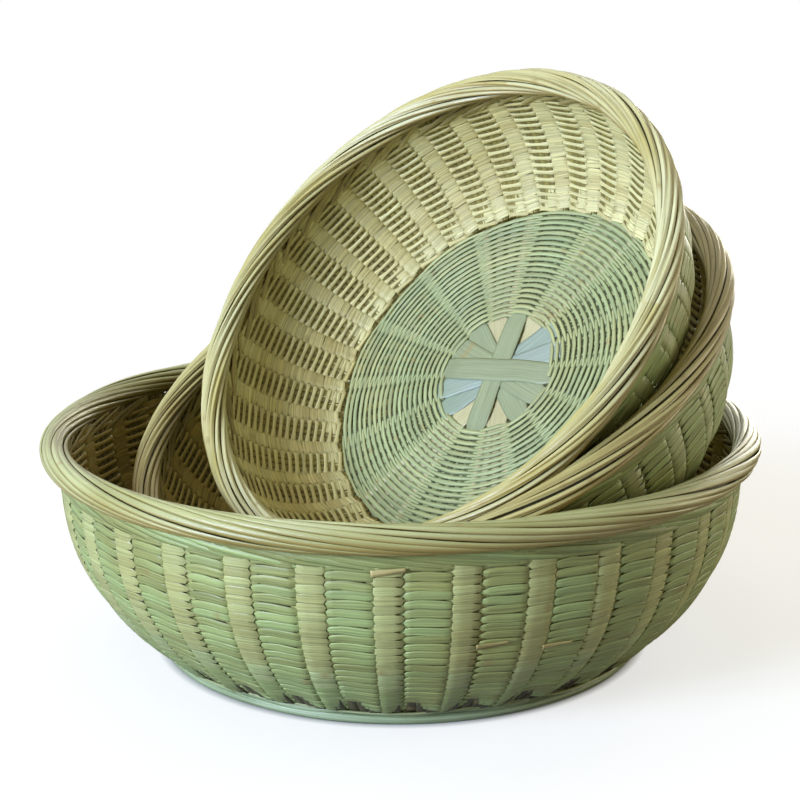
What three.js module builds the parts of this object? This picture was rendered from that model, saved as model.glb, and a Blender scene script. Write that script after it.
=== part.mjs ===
import * as THREE from 'three';

// A set of three round bamboo baskets: a large one on its foot, a medium one leaning in it and a
// small one leaning in the medium. Millimetres, +Z up. The origin is the middle of the large
// basket's foot, on the floor. Each basket has a woven wall and base, a star of splints that cross
// under the base, a foot of two hoops and a rolled rim of splints wound round a core.

// The baskets, largest first. rimRadius reaches to the outside of the rolled rim, and rimHeight is
// the height of the rim's middle over the underside of the foot. baseRadius is where the wall turns
// up from the base, and rimOverhang is how far the rim stands out past the wall.
const LARGE = {
  name: 'large',
  rimRadius: 180,
  rimHeight: 106,
  rimThickness: 13.6,
  rimOverhang: 8,
  baseRadius: 129,
  footRadius: 123.6,
  rimStations: 42,
  starTurn: 0,
};
const MEDIUM = {
  name: 'medium',
  rimRadius: 160,
  rimHeight: 88,
  rimThickness: 13,
  rimOverhang: 7,
  baseRadius: 114,
  footRadius: 109,
  rimStations: 36,
  starTurn: 12,
};
const SMALL = {
  name: 'small',
  rimRadius: 137,
  rimHeight: 74,
  rimThickness: 12.2,
  rimOverhang: 6,
  baseRadius: 98,
  footRadius: 93.5,
  rimStations: 36,
  starTurn: -40,
};

// How a basket leans in the next larger one: by leanAngle towards the azimuth leanToward, in
// degrees, with the middle of its rim shiftX and shiftY aside from the larger one's axis. Its
// height follows from where it comes to rest.
const MEDIUM_IN_LARGE = { leanAngle: 28.5, leanToward: -142.8, shiftX: 11.2, shiftY: -6.7 };
const SMALL_IN_MEDIUM = { leanAngle: 22.4, leanToward: -129.5, shiftX: 16.6, shiftY: -10.9 };

// Clearances: between the pieces of one basket, between a basket and the one that it rests in, and
// between neighbouring strands of a rim.
const CLEARANCE = 0.3;
const REST_GAP = 0.5;
const STRAND_GAP = 0.5;

// How finely the seat of a leaning basket is found: how far apart the points on its surface are,
// and how near to REST_GAP it comes.
const SEAT_SPACING = 5;
const FEWEST_PLACES = 8;
const SEAT_TOLERANCE = 0.02;

// Points on the round of a rim in a basket's outline, and the angle at which it leaves the wall.
const RIM_POINTS = 16;
const RIM_START = THREE.MathUtils.degToRad(-75);

// Splints that cross under the base and lie on one another at the middle. The list gives each
// splint's layer there, from 0 at the bottom, in order round the star.
const SPLINT_WIDTH = 11.6;
const SPLINT_THICKNESS = 0.5;
const SPLINT_LAYERS = [7, 4, 2, 0, 6, 1, 3, 5];
const SPLINT_ENDS = 2 * SPLINT_LAYERS.length;
const LAYERS_BELOW_BASE = 2.5;

// Woven wall. Each end of a splint is split into four stakes, and each pair of stakes makes an
// upright rib, RIB_TURN degrees round from the star's first splint. The ribs stand out by RIB_DEPTH
// outside and leave grooves inside. Round the foot they bulge out further, by BULGE_DEPTH, which
// fades up the wall as (1 - height)^2. WALL_THICKNESS holds the ribs. The wall is drawn in
// WALL_STEPS steps, shorter near the base, where it curves most.
const WALL_THICKNESS = 3.2;
const WALL_CURVE = 2.6;
const WALL_STEPS = 4;
const WALL_STEP_SPREAD = 1.25;
const SLOPE_STEP = 0.001;
const RIB_COUNT = 2 * SPLINT_ENDS;
const RIB_TURN = 9.2;
const RIB_DEPTH = 1;
const BULGE_DEPTH = 1.8;

// Woven base, with a hole where the star shows.
const BASE_THICKNESS = 2.5;
const STAR_RADIUS = 27;
const STAR_RAMP = 6;
const BASE_STATIONS = 48;

// Foot: a flat hoop that stands on the floor, and a lash hoop that waves under the splints' ends.
const FOOT_WIDTH = 5;
const FOOT_HOOP_HEIGHT = 3.2;
const LASH_WIDTH = 4;
const LASH_HEIGHT = 2;
const LASH_WAVE = 0.5;
const FOOT_STATIONS = 40;

// Rolled rim: flat strands that wind round a core and close on themselves after whole turns.
const STRAND_COUNT = 6;
const STRAND_TURNS = 3;
const STRAND_THICKNESS = 1.3;
const CORE_SIDES = 6;

const GREEN_BAMBOO = 0xa3b184;
const CREAM_BAMBOO = 0xc3bc8c;
const PALE_GREEN_BAMBOO = 0xaebfa0;
const OLIVE_BAMBOO = 0x9c9a66;

function bamboo(color, roughness) {
  return new THREE.MeshStandardMaterial({ color, roughness, metalness: 0, flatShading: true });
}

const weaveMaterial = bamboo(GREEN_BAMBOO, 0.7);
const baseMaterial = bamboo(PALE_GREEN_BAMBOO, 0.7);
const splintMaterial = bamboo(PALE_GREEN_BAMBOO, 0.55);
const creamSplintMaterial = bamboo(CREAM_BAMBOO, 0.55);
const strandMaterial = bamboo(CREAM_BAMBOO, 0.5);
const coreMaterial = bamboo(OLIVE_BAMBOO, 0.6);
const footMaterial = bamboo(GREEN_BAMBOO, 0.6);

// Volume inside a closed surface, negative where its faces point in.
function signedVolume(points, faces) {
  let sum = 0;
  for (const [a, b, c] of faces) {
    sum += points[a].dot(new THREE.Vector3().crossVectors(points[b], points[c]));
  }
  return sum / 6;
}

// Joins rings of points into one closed body. A loop runs back to its first ring, and any other
// body gets a flat face at each end. Sides in a section's second half are split along the other
// diagonal, so that facing sides of two like strands have like folds and keep their gap.
function bodyFromRings(rings, isLoop) {
  const sides = rings[0].length;
  const points = rings.flat();
  const faces = [];
  const steps = isLoop ? rings.length : rings.length - 1;
  for (let step = 0; step < steps; step += 1) {
    const here = step * sides;
    const next = ((step + 1) % rings.length) * sides;
    for (let side = 0; side < sides; side += 1) {
      const after = (side + 1) % sides;
      const [a, b, c, d] = [here + side, here + after, next + after, next + side];
      if (side < sides / 2) {
        faces.push([a, b, c], [a, c, d]);
      } else {
        faces.push([a, b, d], [b, c, d]);
      }
    }
  }
  if (!isLoop) {
    const last = (rings.length - 1) * sides;
    for (let side = 1; side < sides - 1; side += 1) {
      faces.push([0, side + 1, side], [last, last + side, last + side + 1]);
    }
  }
  if (signedVolume(points, faces) < 0) {
    faces.forEach((face) => face.reverse());
  }
  const geometry = new THREE.BufferGeometry().setFromPoints(points);
  geometry.setIndex(faces.flat());
  geometry.computeVertexNormals();
  return geometry;
}

// A body that runs once round the basket. sectionAt gives its section at an azimuth, as points of
// radius and height.
function hoop(sectionAt, stations) {
  const rings = [];
  for (let station = 0; station < stations; station += 1) {
    const azimuth = (2 * Math.PI * station) / stations;
    const ring = sectionAt(azimuth).map(
      ([radius, z]) => new THREE.Vector3(radius * Math.cos(azimuth), radius * Math.sin(azimuth), z)
    );
    rings.push(ring);
  }
  return bodyFromRings(rings, true);
}

// Heights, from the floor up, of the pieces that are stacked under the wall.
const LASH_BOTTOM = FOOT_HOOP_HEIGHT + CLEARANCE + LASH_WAVE;
const SPLINT_LEVEL = LASH_BOTTOM + LASH_HEIGHT;
const BASE_LEVEL = SPLINT_LEVEL + SPLINT_THICKNESS + CLEARANCE;
const BASE_TOP = BASE_LEVEL + BASE_THICKNESS;
const LAYER_RISE = SPLINT_THICKNESS + CLEARANCE;
const STAR_BOTTOM = SPLINT_LEVEL - LAYERS_BELOW_BASE * LAYER_RISE;
const STAR_TOP = STAR_BOTTOM + (SPLINT_LAYERS.length - 1) * LAYER_RISE + SPLINT_THICKNESS;

function rimCentre(basket) {
  return [basket.rimRadius - basket.rimThickness / 2, basket.rimHeight];
}

// The wall's outside at a share of its height, from 0 at the base to 1 under the rim, on a bulge.
function wallPoint(basket, share) {
  const wallRadius = basket.rimRadius - basket.rimOverhang;
  const top = wallTop(basket, wallRadius);
  const radius = wallRadius - (wallRadius - basket.baseRadius) * (1 - share) ** WALL_CURVE;
  return [radius, BASE_LEVEL + (top - BASE_LEVEL) * share];
}

// Height at which the wall ends, with its clearance under the round of the rim.
function wallTop(basket, radius) {
  const [centreRadius, centreHeight] = rimCentre(basket);
  const reach = basket.rimThickness / 2 + CLEARANCE;
  return centreHeight - Math.sqrt(reach ** 2 - (radius - centreRadius) ** 2);
}

// The wall's outside and inside, as points of radius and height from the base to the rim. The
// inside lies one wall thickness in, square to the outside.
function wallOutline(basket) {
  const outside = [];
  const inside = [];
  for (let index = 0; index <= WALL_STEPS; index += 1) {
    const share = (index / WALL_STEPS) ** WALL_STEP_SPREAD;
    const [radius, z] = wallPoint(basket, share);
    const [nearRadius, nearZ] = wallPoint(basket, share - SLOPE_STEP);
    const slope = Math.hypot(radius - nearRadius, z - nearZ);
    const inward = [-(z - nearZ) / slope, (radius - nearRadius) / slope];
    outside.push([radius, z]);
    inside.push([radius + inward[0] * WALL_THICKNESS, z + inward[1] * WALL_THICKNESS]);
  }
  const lip = inside[WALL_STEPS];
  lip[1] = wallTop(basket, lip[0]);
  return { outside, inside };
}

function wallWeave(basket) {
  const { outside, inside } = wallOutline(basket);
  const section = (azimuth) => {
    const hollow = (1 - Math.cos(RIB_COUNT * azimuth)) / 2;
    const skin = outside.map(([radius, z], index) => {
      const fade = (1 - index / WALL_STEPS) ** 2;
      const depth = RIB_DEPTH + (BULGE_DEPTH - RIB_DEPTH) * fade;
      return [radius - hollow * depth, z];
    });
    const lining = inside.map(([radius, z], index) => {
      const groove = index > 0 ? RIB_DEPTH * (1 - hollow) : 0;
      const height = index < WALL_STEPS ? z : wallTop(basket, radius + groove);
      return [radius + groove, height];
    });
    return [...skin, ...lining.reverse()];
  };
  const turn = THREE.MathUtils.degToRad(basket.starTurn + RIB_TURN);
  return hoop(section, 2 * RIB_COUNT).rotateZ(turn);
}

function baseWeave(basket) {
  const hole = STAR_RADIUS + STAR_RAMP;
  const { outside, inside } = wallOutline(basket);
  const edge = Math.min(inside[0][0], outside[0][0] - BULGE_DEPTH) - CLEARANCE;
  const section = () => [[hole, BASE_LEVEL], [edge, BASE_LEVEL], [edge, BASE_TOP], [hole, BASE_TOP]];
  return hoop(section, BASE_STATIONS);
}

// One splint across the base. It lies flat under the weave and steps to its own layer at the star.
function baseSplint(basket, index) {
  const turn = THREE.MathUtils.degToRad(basket.starTurn) + (Math.PI * index) / SPLINT_LAYERS.length;
  const rise = (SPLINT_LAYERS[index] - LAYERS_BELOW_BASE) * LAYER_RISE;
  const end = basket.footRadius;
  const foot = STAR_RADIUS + STAR_RAMP - CLEARANCE;
  const stations = [
    [-end, 0],
    [-foot, 0],
    [-STAR_RADIUS, rise],
    [STAR_RADIUS, rise],
    [foot, 0],
    [end, 0],
  ];
  const rings = stations.map(([along, lift]) => {
    const bottom = SPLINT_LEVEL + lift;
    const top = bottom + SPLINT_THICKNESS;
    const half = SPLINT_WIDTH / 2;
    return [[-half, bottom], [half, bottom], [half, top], [-half, top]].map(
      ([across, z]) => new THREE.Vector3(along, across, z)
    );
  });
  return bodyFromRings(rings, false).rotateZ(turn);
}

function footHoop(basket) {
  const outer = basket.footRadius;
  const inner = outer - FOOT_WIDTH;
  const section = () => [[inner, 0], [outer, 0], [outer, FOOT_HOOP_HEIGHT], [inner, FOOT_HOOP_HEIGHT]];
  return hoop(section, FOOT_STATIONS);
}

// The lash lies low under each end of a splint and rises between them.
function footLash(basket) {
  const outer = basket.footRadius - (FOOT_WIDTH - LASH_WIDTH) / 2;
  const inner = outer - LASH_WIDTH;
  const turn = THREE.MathUtils.degToRad(basket.starTurn);
  const section = (azimuth) => {
    const bottom = LASH_BOTTOM - LASH_WAVE * Math.cos(SPLINT_ENDS * azimuth);
    const top = bottom + LASH_HEIGHT;
    return [[inner, bottom], [outer, bottom], [outer, top], [inner, top]];
  };
  return hoop(section, 2 * SPLINT_ENDS).rotateZ(turn);
}

// Section of one strand of the rolled rim. Seen from above, a strand that is followed round
// against the clock goes from the inside over the top to the outside.
function strandSection(basket, index, azimuth) {
  const outer = basket.rimThickness / 2;
  const inner = outer - STRAND_THICKNESS;
  const half = strandHalfAngle(inner);
  const middle = (2 * Math.PI * index) / STRAND_COUNT - STRAND_TURNS * azimuth;
  const corners = [[inner, -half], [outer, -half], [outer, half], [inner, half]];
  const [centreRadius, centreHeight] = rimCentre(basket);
  return corners.map(([reach, angle]) => [
    centreRadius + reach * Math.cos(middle + angle),
    centreHeight + reach * Math.sin(middle + angle),
  ]);
}

// Half the angle that a strand takes of the rim's round section.
function strandHalfAngle(inner) {
  return Math.PI / STRAND_COUNT - STRAND_GAP / (2 * inner);
}

function rimStrand(basket, index) {
  return hoop((azimuth) => strandSection(basket, index, azimuth), basket.rimStations);
}

function rimCore(basket) {
  const inner = basket.rimThickness / 2 - STRAND_THICKNESS;
  const reach = inner * Math.cos(strandHalfAngle(inner)) - CLEARANCE;
  const [centreRadius, centreHeight] = rimCentre(basket);
  const section = () => Array.from({ length: CORE_SIDES }, (_, side) => {
    const angle = (2 * Math.PI * side) / CORE_SIDES;
    return [centreRadius + reach * Math.cos(angle), centreHeight + reach * Math.sin(angle)];
  });
  return hoop(section, basket.rimStations);
}

function namedMesh(basket, piece, geometry, material) {
  const mesh = new THREE.Mesh(geometry, material);
  mesh.name = `${basket.name}_${piece}`;
  return mesh;
}

function buildBasket(basket) {
  const group = new THREE.Group();
  group.add(namedMesh(basket, 'foot_hoop', footHoop(basket), footMaterial));
  group.add(namedMesh(basket, 'foot_lash', footLash(basket), footMaterial));
  SPLINT_LAYERS.forEach((layer, index) => {
    const material = layer < 2 ? creamSplintMaterial : splintMaterial;
    group.add(namedMesh(basket, `base_splint_${index + 1}`, baseSplint(basket, index), material));
  });
  group.add(namedMesh(basket, 'base_weave', baseWeave(basket), baseMaterial));
  group.add(namedMesh(basket, 'wall_weave', wallWeave(basket), weaveMaterial));
  group.add(namedMesh(basket, 'rim_core', rimCore(basket), coreMaterial));
  for (let index = 0; index < STRAND_COUNT; index += 1) {
    group.add(namedMesh(basket, `rim_strand_${index + 1}`, rimStrand(basket, index), strandMaterial));
  }
  return group;
}

// Closed outline of a whole basket, as points of radius and height: up the outside, over the rim
// and down the inside to the middle of the star.
function basketOutline(basket) {
  const { outside, inside } = wallOutline(basket);
  const [centreRadius, centreHeight] = rimCentre(basket);
  const reach = basket.rimThickness / 2;
  const rim = [];
  for (let point = 0; point <= RIM_POINTS; point += 1) {
    const angle = RIM_START + ((Math.PI - 2 * RIM_START) * point) / RIM_POINTS;
    rim.push([centreRadius + reach * Math.cos(angle), centreHeight + reach * Math.sin(angle)]);
  }
  return [
    [0, STAR_BOTTOM],
    [STAR_RADIUS, STAR_BOTTOM],
    [STAR_RADIUS + STAR_RAMP, SPLINT_LEVEL],
    [basket.footRadius - FOOT_WIDTH, SPLINT_LEVEL],
    [basket.footRadius - FOOT_WIDTH, 0],
    [basket.footRadius, 0],
    [basket.footRadius, BASE_LEVEL],
    ...outside,
    ...rim,
    ...[...inside].reverse(),
    [STAR_RADIUS, BASE_TOP],
    [STAR_RADIUS, STAR_TOP],
    [0, STAR_TOP],
  ];
}

// Distance from a point to a closed outline, negative inside it.
function distanceToOutline(outline, radius, z) {
  let nearestSquare = Infinity;
  let isInside = false;
  for (let index = 0; index < outline.length; index += 1) {
    const [startRadius, startZ] = outline[index];
    const [endRadius, endZ] = outline[(index + 1) % outline.length];
    const runRadius = endRadius - startRadius;
    const runZ = endZ - startZ;
    const along = (radius - startRadius) * runRadius + (z - startZ) * runZ;
    const runSquare = runRadius * runRadius + runZ * runZ;
    const share = Math.min(Math.max(along / runSquare, 0), 1);
    const offRadius = radius - startRadius - share * runRadius;
    const offZ = z - startZ - share * runZ;
    nearestSquare = Math.min(nearestSquare, offRadius * offRadius + offZ * offZ);
    const crosses = startZ > z !== endZ > z;
    if (crosses && radius < startRadius + (runRadius * (z - startZ)) / runZ) {
      isInside = !isInside;
    }
  }
  const nearest = Math.sqrt(nearestSquare);
  return isInside ? -nearest : nearest;
}

// Points all over a basket's surface, spacing apart along its outline and twice that round it.
function surfacePoints(outline, spacing) {
  const points = [];
  for (let index = 0; index < outline.length - 1; index += 1) {
    const [startRadius, startZ] = outline[index];
    const [endRadius, endZ] = outline[index + 1];
    const pieces = Math.ceil(Math.hypot(endRadius - startRadius, endZ - startZ) / spacing);
    for (let piece = 0; piece < pieces; piece += 1) {
      const radius = startRadius + ((endRadius - startRadius) * piece) / pieces;
      const z = startZ + ((endZ - startZ) * piece) / pieces;
      const places = Math.max(FEWEST_PLACES, Math.ceil((Math.PI * radius) / spacing));
      for (let place = 0; place < places; place += 1) {
        const azimuth = (2 * Math.PI * place) / places;
        points.push(new THREE.Vector3(radius * Math.cos(azimuth), radius * Math.sin(azimuth), z));
      }
    }
  }
  return points;
}

// Least distance from the points, once moved by a matrix, to the outline.
function leastDistance(points, matrix, outline) {
  let least = Infinity;
  const moved = new THREE.Vector3();
  for (const point of points) {
    moved.copy(point).applyMatrix4(matrix);
    least = Math.min(least, distanceToOutline(outline, Math.hypot(moved.x, moved.y), moved.z));
  }
  return least;
}

// Where a leaning basket lies in the one that holds it, with the middle of its rim at a height.
function leaningMatrix(basket, pose, rimCentreHeight) {
  const toward = THREE.MathUtils.degToRad(pose.leanToward);
  const hinge = new THREE.Vector3(-Math.sin(toward), Math.cos(toward), 0);
  const matrix = new THREE.Matrix4().makeRotationAxis(hinge, THREE.MathUtils.degToRad(pose.leanAngle));
  const toFoot = new THREE.Vector3(0, 0, -basket.rimHeight).applyMatrix4(matrix);
  return matrix.setPosition(pose.shiftX + toFoot.x, pose.shiftY + toFoot.y, rimCentreHeight + toFoot.z);
}

// Lowers a leaning basket into the one that holds it until the two are REST_GAP apart. Each step
// is as long as the distance that is left, so that it can't pass through anything.
function restingMatrix(basket, holder, pose) {
  const ownOutline = basketOutline(basket);
  const holderOutline = basketOutline(holder);
  const ownPoints = surfacePoints(ownOutline, SEAT_SPACING);
  const holderPoints = surfacePoints(holderOutline, SEAT_SPACING);
  let height = holder.rimHeight + 2 * basket.rimRadius;
  let matrix;
  let spare = Infinity;
  while (spare > SEAT_TOLERANCE) {
    matrix = leaningMatrix(basket, pose, height);
    const least = Math.min(
      leastDistance(ownPoints, matrix, holderOutline),
      leastDistance(holderPoints, matrix.clone().invert(), ownOutline)
    );
    spare = least - REST_GAP;
    height -= spare;
  }
  return matrix;
}

function placeGroup(group, matrix) {
  matrix.decompose(group.position, group.quaternion, group.scale);
}

const large = buildBasket(LARGE);
const medium = buildBasket(MEDIUM);
const small = buildBasket(SMALL);
placeGroup(medium, restingMatrix(MEDIUM, LARGE, MEDIUM_IN_LARGE));
placeGroup(small, restingMatrix(SMALL, MEDIUM, SMALL_IN_MEDIUM));
medium.add(small);

const basketSet = new THREE.Group();
basketSet.add(large, medium);

export default basketSet;
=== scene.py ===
"""Dresses the three nested bamboo baskets with their woven splints, rolled rims and feet.

Each basket is worked out in its own frame, in millimetres and degrees: Z runs up its axis from
the underside of its foot, and X along the first splint of its star. A mesh is made in metres.
"""
import math
from types import SimpleNamespace

import bpy
import numpy as np
from mathutils import Matrix, Vector


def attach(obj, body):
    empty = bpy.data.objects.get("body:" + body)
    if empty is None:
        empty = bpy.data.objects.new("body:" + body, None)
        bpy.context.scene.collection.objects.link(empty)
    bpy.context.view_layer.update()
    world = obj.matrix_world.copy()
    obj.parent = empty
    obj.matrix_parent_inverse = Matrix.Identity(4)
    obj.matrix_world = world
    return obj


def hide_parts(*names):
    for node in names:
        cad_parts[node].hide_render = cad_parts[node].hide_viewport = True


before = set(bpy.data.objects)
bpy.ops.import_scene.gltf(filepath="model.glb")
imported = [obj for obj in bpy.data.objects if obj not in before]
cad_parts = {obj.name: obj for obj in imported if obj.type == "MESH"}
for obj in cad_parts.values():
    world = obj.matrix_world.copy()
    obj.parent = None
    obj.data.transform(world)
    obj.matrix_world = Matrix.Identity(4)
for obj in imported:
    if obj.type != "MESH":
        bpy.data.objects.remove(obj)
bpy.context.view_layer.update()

bl_info = {
    "name": "Bamboo Basket Weaver",
    "version": (1, 0, 0),
    "blender": (4, 5, 0),
    "location": "View3D > Sidebar > Baskets",
    "description": "Weaves a nesting set of three bamboo bowl baskets round their frame",
    "category": "Add Mesh",
}

MM = 0.001
BASKETS = ("large", "medium", "small")

# What each basket has: splints in its star and their ends, yellow columns and stakes round its
# wall, strands round its rim with the splints to each, and splints in each hoop of its foot.
SPLINTS = 8
ENDS = 2 * SPLINTS
COLUMNS = 2 * ENDS
STAKES = 2 * COLUMNS
RIM_STRANDS = 6
RIM_SPLITS = 2
FOOT_SPLINTS = 6

# What each splint of the star is split from, from the first one round.
KINDS = ("green", "blue green", "blue green", "cream", "green", "cream", "green", "green")

# How far the columns of the base weave lie round from the splints.
BASE_PHASE = -3.5

# Where the first yellow column of the wall lies, and how far before it the top of its rib is.
COLUMN_PHASE = 9.2
RIB_LEAD = 2.2

# Half the width of a yellow column, in degrees, and where beside it the weavers change sides.
HALF_COLUMN = 2.1
CROSSING = (HALF_COLUMN - 0.3, HALF_COLUMN + 0.4)

# Where the points of a weaver lie from the middle of each yellow column on, in degrees, closest
# together where it changes sides.
PLACES = np.array([-5.6, -4.4, -3.3, -2.5, -2.15, -1.8, -0.6, 0.6, 1.85, 2.15, 2.45, 3.3, 4.4])

# How unevenly a weaver of the wall runs: the size of each drift, and the degrees between its
# bends. The place of a drift in this list is added to the seed of its dice.
DRIFTS = {
    "climb": (0.1, 25),
    "width": (0.05, 9),
    "thickness": (0.1, 14),
    "drop": (0.1, 50),
    "bow": (0.07, 43),
    "edge": (0.3, 31),
    "slow edge": (0.15, 700),
    "pinch": (0.12, 19),
    "slack": (0.04, 37),
}

# How high up the wall the first row lies, and how far under its top the last one ends.
FIRST_ROW = 0.6
LAST_ROW = 3

# Widths of a float, as shares of its row: just touching the next one, and pressed against it.
SNUG = 1.01
PRESSED = 1.04

# How much a weaver draws in before a yellow column and past it, and how much more past it on
# the two larger baskets.
PINCH_BEFORE = 0.2
YELLOW_PINCH = 0.45
GREEN_PINCH = 0.4
LARGER_PINCH = 0.35

# The share of its row that a weaver of the medium basket fills.
MEDIUM_FILL = 0.93

# Turns that the strands of a rim wind round its filling on their way round the basket.
RIM_TWIST = 3

# The wall radius of the large basket, for which the pitch of the rows is given.
FULL_RADIUS = 172

# How quickly the wall turns up from the base.
WALL_CURVE = 2.6

# Turns after which the weaver of the yellow columns is no longer green, and then yellow.
GREEN_TURNS = 6.3
MIXED_TURNS = 9.6

# How close the layers of the star lie, as a share of those of the solid splints.
STAR_PRESS = 0.36

# Loose ends of weavers on the large wall: azimuth, height as a share of the wall, and rise.
LOOSE_ENDS = ((-94.5, 0.905, 2.0), (-79, 0.545, 2.2), (-68, 0.5, 1.0))

# Lamps: name, place, size in metres, power in watts and tint.
LAMPS = (
    ("key light", (-2.66, -2.08, 1.2), 1.4, 172, (0.84, 1.02, 1.36)),
    ("top light", (-0.3, 0.1, 1.6), 1.0, 4, (1.0, 0.93, 0.7)),
    ("side light", (1.8, 0.35, 0.45), 0.8, 12, (1.0, 0.93, 0.68)),
    ("back light", (1.1, 2.4, 0.45), 1.2, 30, (1.0, 0.97, 0.85)),
)

# The soft light from all round: clear from the window side, dim and warm from the other.
WINDOW_SIDE = (-0.85, 0.1, 0.35)
CLEAR_AIR = (0.34, 0.32, 0.22, 1.0)
WARM_AIR = (0.13, 0.09, 0.015, 1.0)

# The splints of each rim: their kind, thickness, how square their edges are, and how close they
# lie.
RIM_BUILD = {
    "large": ("green rim", 1.6, 0.2, 0.98),
    # The medium rim is a darker, browner copy of the rim splint: painted shade.
    "medium": ("aged rim", 2.6, 0.0, 0.86),
    "small": ("rim", 2.9, 0.0, 0.88),
}

# How many times each wave of a rim splint bends on its way round the basket.
RIM_WAVES = (1, 2, 3, 5, 8, 13)

# The two hoops of a foot: the height of the middle, half the height, how far it waves, the width
# of its splints, and how far they reach past the solid hoop. Then how deep the middle lies in
# from the foot's edge, and the thickness of a splint.
HOOPS = {"foot_hoop": (2.3, 2.3, 0.0, 2.9, 0.4), "foot_lash": (5.3, 1.3, 0.7, 2.3, 0.0)}
HOOP_INSET = 2.1
HOOP_SPLINT = 0.8

# Stake ends under a rim, outside and then inside: the side of the wall, how far they rise, how
# many degrees they run round, and their share of the full width.
END_ROWS = ((1, 9.5, 26, 1.0), (-1, 10, 12, 0.85))

# What the lamps are turned to, and the paper, all in metres: half its side, and how far from its
# middle it starts to glow under the foot, and fades to plain white. Where it doesn't glow, under
# the foot and in a thin ring round it, the paper is darker: painted shadow.
LAMP_AIM = (0, 0, 0.12)
PAPER_REACH = 6.0
GLOW_START = (0.122, 0.128)
FADE = (0.28, 0.6)

# How much the paper glows near the baskets, where 1 is white.
PAPER_GLOW = 0.67
WHITE = (1.0, 1.0, 1.0, 1.0)


def unit(vector):
    return vector * (1 / np.linalg.norm(vector))


def ring(radius, azimuth, height):
    """Points at a radius, an azimuth in radians and a height."""
    height = np.broadcast_to(height, np.shape(azimuth))
    return np.stack([radius * np.cos(azimuth), radius * np.sin(azimuth), height], axis=-1)


class Basket:
    """One basket of the frame: where it stands, and the sizes that its pieces share."""

    def __init__(self, name):
        self.name = name
        self.body = f"{name}_basket"
        hoop = self.corners("foot_hoop")
        core = self.corners("rim_core")
        middle = hoop.mean(axis=0)
        axis = unit(core.mean(axis=0) - middle)
        self.origin = middle + axis * ((hoop - middle) @ axis).min()
        splint = self.corners("base_splint_1")
        splint = splint - splint.mean(axis=0)
        ahead = np.linalg.svd(splint, full_matrices=False)[2][0]
        ahead = unit(ahead - axis * (ahead @ axis))
        if ahead[0] < 0:
            ahead = -ahead
        self.place = np.array([ahead, np.cross(axis, ahead), axis]).T

        radius, height = self.polar("rim_core")
        self.rim_radius, self.rim_height = radius.mean(), height.mean()
        radius, height = self.polar("rim_strand_1")
        self.rim_reach = np.hypot(radius - self.rim_radius, height - self.rim_height).max()
        radius, height = self.polar("foot_hoop")
        self.foot_radius, self.foot_width = radius.max(), np.ptp(radius)
        radius, height = self.polar("base_weave")
        self.hole_radius = radius.min()
        self.level = (height.min() + height.max()) / 2 - 0.1
        radius, height = self.polar("wall_weave")
        self.wall_bottom, self.wall_top = height.min(), height.max()
        self.wall_radius = radius.max()
        self.base_radius = radius[height < self.wall_bottom + 0.1].max()
        self.row_scale = math.sqrt(self.wall_radius / FULL_RADIUS)

    def corners(self, piece):
        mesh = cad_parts[f"{self.name}_{piece}"].data
        flat = np.empty(len(mesh.vertices) * 3)
        mesh.vertices.foreach_get("co", flat)
        return flat.reshape(-1, 3) / MM

    def polar(self, piece):
        local = (self.corners(piece) - self.origin) @ self.place
        return np.hypot(local[:, 0], local[:, 1]), local[:, 2]

    def placed(self, points):
        return points @ self.place.T + self.origin

    def seed(self, *words):
        """A seed for dice that stays the same in every run."""
        letters = "_".join(map(str, (self.name, *words)))
        return sum(ord(letter) * (place + 3) for place, letter in enumerate(letters)) * 7

    def dice(self, *words):
        return np.random.default_rng(self.seed(*words))


class Outline:
    """The middle of the woven wall, by the way up it from the base."""

    def __init__(self, basket, sizes):
        share = np.linspace(0, 1, 240)
        span = basket.wall_radius - basket.base_radius
        radius = basket.wall_radius - span * (1 - share) ** WALL_CURVE
        height = basket.wall_bottom + (basket.wall_top - basket.wall_bottom) * share
        slope_r, slope_z = np.gradient(radius), np.gradient(height)
        length = np.hypot(slope_r, slope_z)
        self.face_r, self.face_z = slope_z / length, -slope_r / length
        self.radius = radius - self.face_r * sizes.wall_thickness / 2
        self.height = height - self.face_z * sizes.wall_thickness / 2
        self.share = share
        steps = np.hypot(np.diff(self.radius), np.diff(self.height))
        self.climb = np.concatenate([[0], np.cumsum(steps)])
        self.length = self.climb[-1]
        self.sizes = sizes

    def at(self, climb, azimuth, offset=0.0):
        """Points on the wall and the directions out of it, offset from its middle."""
        radius, height, face_r, face_z, share = (
            np.interp(climb, self.climb, table)
            for table in (self.radius, self.height, self.face_r, self.face_z, self.share)
        )
        angle = np.radians(azimuth)
        wave = np.cos(np.radians((azimuth - COLUMN_PHASE + RIB_LEAD) * COLUMNS))
        fade = (1 - share) ** 2
        outward = np.clip(2 * offset / self.sizes.weaver_reach - 1, 0, 1)
        hollow = (self.sizes.bulge_depth - self.sizes.rib_depth) * (1 - wave) / 2 * fade
        radius = radius + offset * face_r + self.sizes.rib_depth * wave / 2 - hollow
        lift = self.sizes.foot_lift * (1 - wave) / 2 * fade ** 5 * outward
        height = height + offset * face_z + lift
        return ring(radius, angle, height), ring(face_r, angle, face_z)


def ramp(value, low, high):
    """0 below low, 1 above high, and smooth between them."""
    share = np.clip((value - low) / (high - low), 0, 1)
    return share * share * (3 - 2 * share)


def wander(way, size, length, seed):
    """A slow uneven drift of about size, with bends about length apart."""
    dice = np.random.default_rng(seed)
    total = np.zeros_like(way, dtype=float)
    for octave in range(3):
        rate = 2 * math.pi / (length * (0.6 + 0.9 * dice.random())) * 1.7 ** octave
        total += np.sin(way * rate + dice.random() * 2 * math.pi) * 0.6 ** octave
    return total * size * 0.6


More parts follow.
